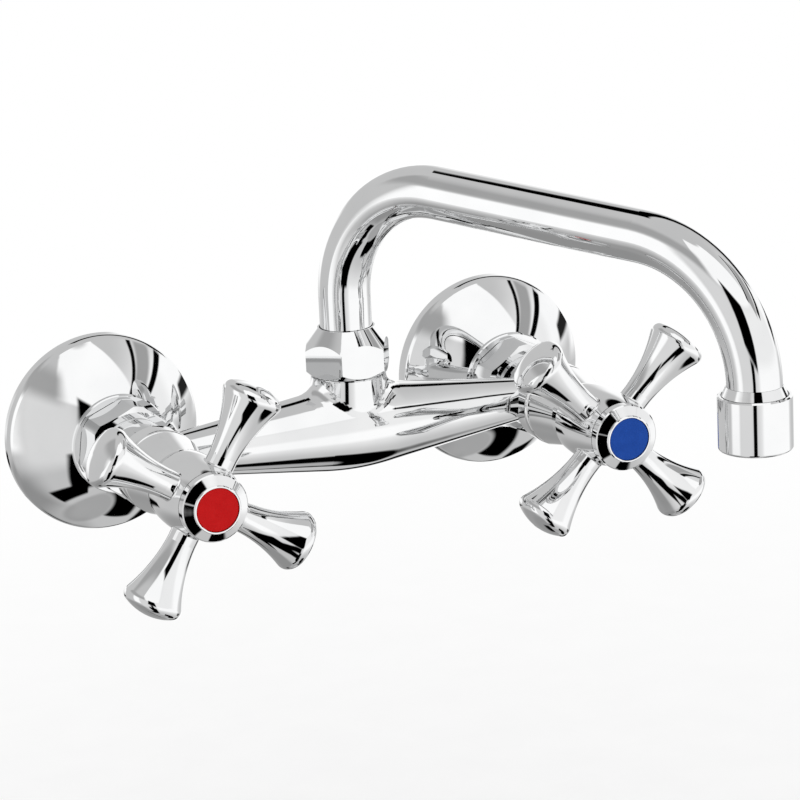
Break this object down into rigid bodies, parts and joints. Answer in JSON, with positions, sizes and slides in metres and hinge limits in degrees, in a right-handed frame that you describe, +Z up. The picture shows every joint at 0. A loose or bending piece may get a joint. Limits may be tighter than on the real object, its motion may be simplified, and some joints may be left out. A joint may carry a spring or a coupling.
{
  "type": "two handle kitchen faucet",
  "caption": "Wall-mounted bridge kitchen faucet with cross handles, round wall plates and a swivelling bent-tube spout with an aerator.",
  "frame": {"origin": "midway between the axes of the two threaded wall stubs, on the finished wall plane", "axes": "+Z up; -Y out of the wall towards the user; +X towards the cold side, the user's right"},
  "size_m": [0.2235, 0.2235, 0.1352],
  "materials": {
    "chromed_brass": "polished chrome plate on brass",
    "brass": "machined",
    "steel": "plain stainless",
    "rubber": "matt",
    "fibre": "matt fibre gasket",
    "slip_plastic": "low-friction plastic",
    "insert_plastic": "moulded",
    "red": "gloss",
    "blue": "gloss"
  },
  "bodies": {
    "faucet": {"faucet_body": "chromed_brass", "spout_nut": "chromed_brass", "hot_inlet_union": "chromed_brass", "hot_escutcheon": "chromed_brass", "hot_coupling_nut": "chromed_brass", "hot_nut_ring": "steel", "hot_inlet_gasket": "fibre", "hot_valve_bonnet": "brass", "hot_bonnet_gasket": "fibre", "hot_bonnet_shroud": "chromed_brass", "cold_inlet_union": "chromed_brass", "cold_escutcheon": "chromed_brass", "cold_coupling_nut": "chromed_brass", "cold_nut_ring": "steel", "cold_inlet_gasket": "fibre", "cold_valve_bonnet": "brass", "cold_bonnet_gasket": "fibre", "cold_bonnet_shroud": "chromed_brass"},
    "spout": {"spout_tube": "chromed_brass", "spout_bush": "brass", "spout_o_rings": "rubber", "spout_slip_ring": "slip_plastic", "spout_end_fitting": "chromed_brass", "aerator_housing": "chromed_brass", "aerator_gasket": "rubber", "aerator_insert": "insert_plastic", "aerator_screen": "steel"},
    "hot_handle_group": {"hot_handle": "chromed_brass", "hot_handle_cap": "chromed_brass", "hot_index_disc": "red", "hot_handle_screw": "steel", "hot_spindle": "brass", "hot_spindle_o_rings": "rubber", "hot_spindle_clip": "steel"},
    "hot_washer_group": {"hot_washer_carrier": "brass", "hot_seat_washer": "rubber", "hot_washer_screw": "brass"},
    "cold_handle_group": {"cold_handle": "chromed_brass", "cold_handle_cap": "chromed_brass", "cold_index_disc": "blue", "cold_handle_screw": "steel", "cold_spindle": "brass", "cold_spindle_o_rings": "rubber", "cold_spindle_clip": "steel"},
    "cold_washer_group": {"cold_washer_carrier": "brass", "cold_seat_washer": "rubber", "cold_washer_screw": "brass"}
  },
  "joints": [
    {"name": "spout_swivel", "type": "hinge", "parent": "faucet", "child": "spout", "pos_m": [0, -0.0485, 0.04], "axis": [0, 0, 1], "range_deg": [-128.5, 71.5]},
    {"name": "hot_handle_turn", "type": "hinge", "parent": "faucet", "child": "hot_handle_group", "pos_m": [-0.075, -0.099, 0.008], "axis": [0, -1, 0], "range_deg": [0, 900]},
    {"name": "hot_washer_lift", "type": "slide", "parent": "faucet", "child": "hot_washer_group", "axis": [0, -1, 0], "range_m": [0, 0.005]},
    {"name": "cold_handle_turn", "type": "hinge", "parent": "faucet", "child": "cold_handle_group", "pos_m": [0.075, -0.099, 0.008], "axis": [0, -1, 0], "range_deg": [0, 900]},
    {"name": "cold_washer_lift", "type": "slide", "parent": "faucet", "child": "cold_washer_group", "axis": [0, -1, 0], "range_m": [0, 0.005]}
  ],
  "couplings": [
    {"joint": "hot_washer_lift", "follows": "hot_handle_turn", "m_per_rad": 0.0003183},
    {"joint": "cold_washer_lift", "follows": "cold_handle_turn", "m_per_rad": 0.0003183}
  ]
}
